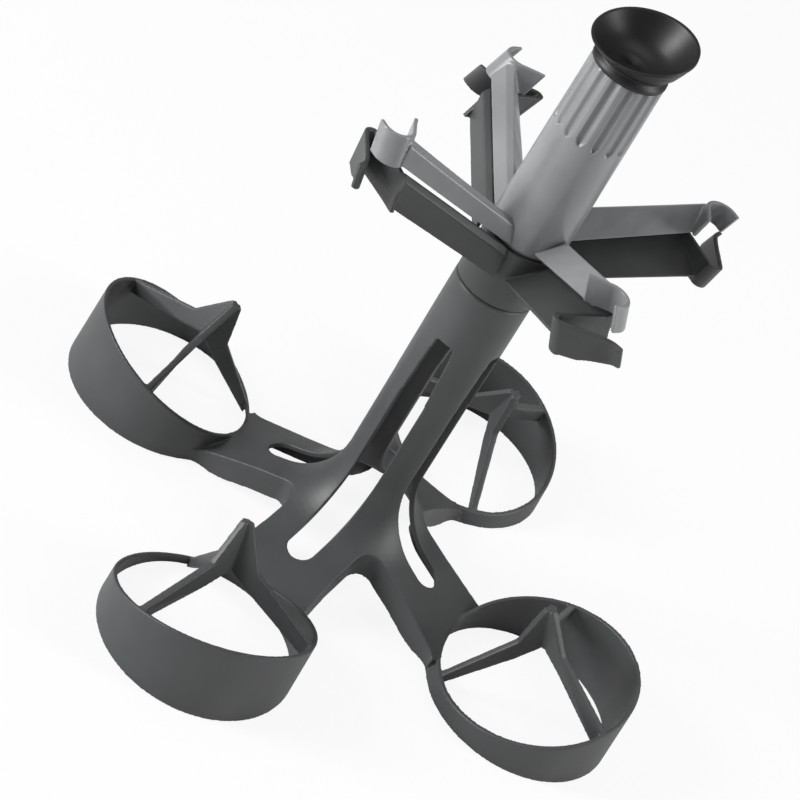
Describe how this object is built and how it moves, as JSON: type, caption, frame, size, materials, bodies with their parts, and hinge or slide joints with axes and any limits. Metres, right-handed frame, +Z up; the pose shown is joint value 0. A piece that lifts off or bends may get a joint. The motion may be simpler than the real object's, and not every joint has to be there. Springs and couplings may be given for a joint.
{
  "type": "twist-clamp stemware rack",
  "caption": "Freestanding grey plastic rack for stemmed glasses, with slanting rings, a slotted column and clips that open when the fluted top grip turns.",
  "frame": {"origin": "on the floor, on the column's axis", "axes": "+Z up along the column; ring_1 lies on +X and the rings run counter-clockwise seen from above"},
  "size_m": [0.2894, 0.2894, 0.2789],
  "materials": {
    "frame_grey": "satin dark grey",
    "hub_grey": "satin charcoal",
    "grip_grey": "semi-gloss mid grey",
    "cup_rubber": "soft black",
    "core_plastic": "plain",
    "fastener_steel": "plain"
  },
  "bodies": {
    "frame": {"column": "frame_grey", "foot_arm_1": "frame_grey", "foot_arm_2": "frame_grey", "foot_arm_3": "frame_grey", "foot_arm_4": "frame_grey", "ring_1": "frame_grey", "ring_2": "frame_grey", "ring_3": "frame_grey", "ring_4": "frame_grey", "tripod_1": "frame_grey", "tripod_2": "frame_grey", "tripod_3": "frame_grey", "tripod_4": "frame_grey", "clip_hub": "hub_grey", "lower_arm_1": "hub_grey", "lower_arm_2": "hub_grey", "lower_arm_3": "hub_grey", "lower_arm_4": "hub_grey", "lower_jaw_1": "hub_grey", "lower_jaw_2": "hub_grey", "lower_jaw_3": "hub_grey", "lower_jaw_4": "hub_grey", "spindle": "core_plastic", "thrust_washer": "core_plastic", "retaining_washer": "fastener_steel", "retaining_screw": "fastener_steel"},
    "grip": {"twist_sleeve": "grip_grey", "upper_arm_1": "grip_grey", "upper_arm_2": "grip_grey", "upper_arm_3": "grip_grey", "upper_arm_4": "grip_grey", "upper_jaw_1": "grip_grey", "upper_jaw_2": "grip_grey", "upper_jaw_3": "grip_grey", "upper_jaw_4": "grip_grey", "rubber_cup": "cup_rubber"}
  },
  "joints": [
    {"name": "sleeve_twist", "type": "hinge", "parent": "frame", "child": "grip", "pos_m": [0, 0, 0.18], "axis": [0, 0, 1], "range_deg": [0, 20]}
  ]
}
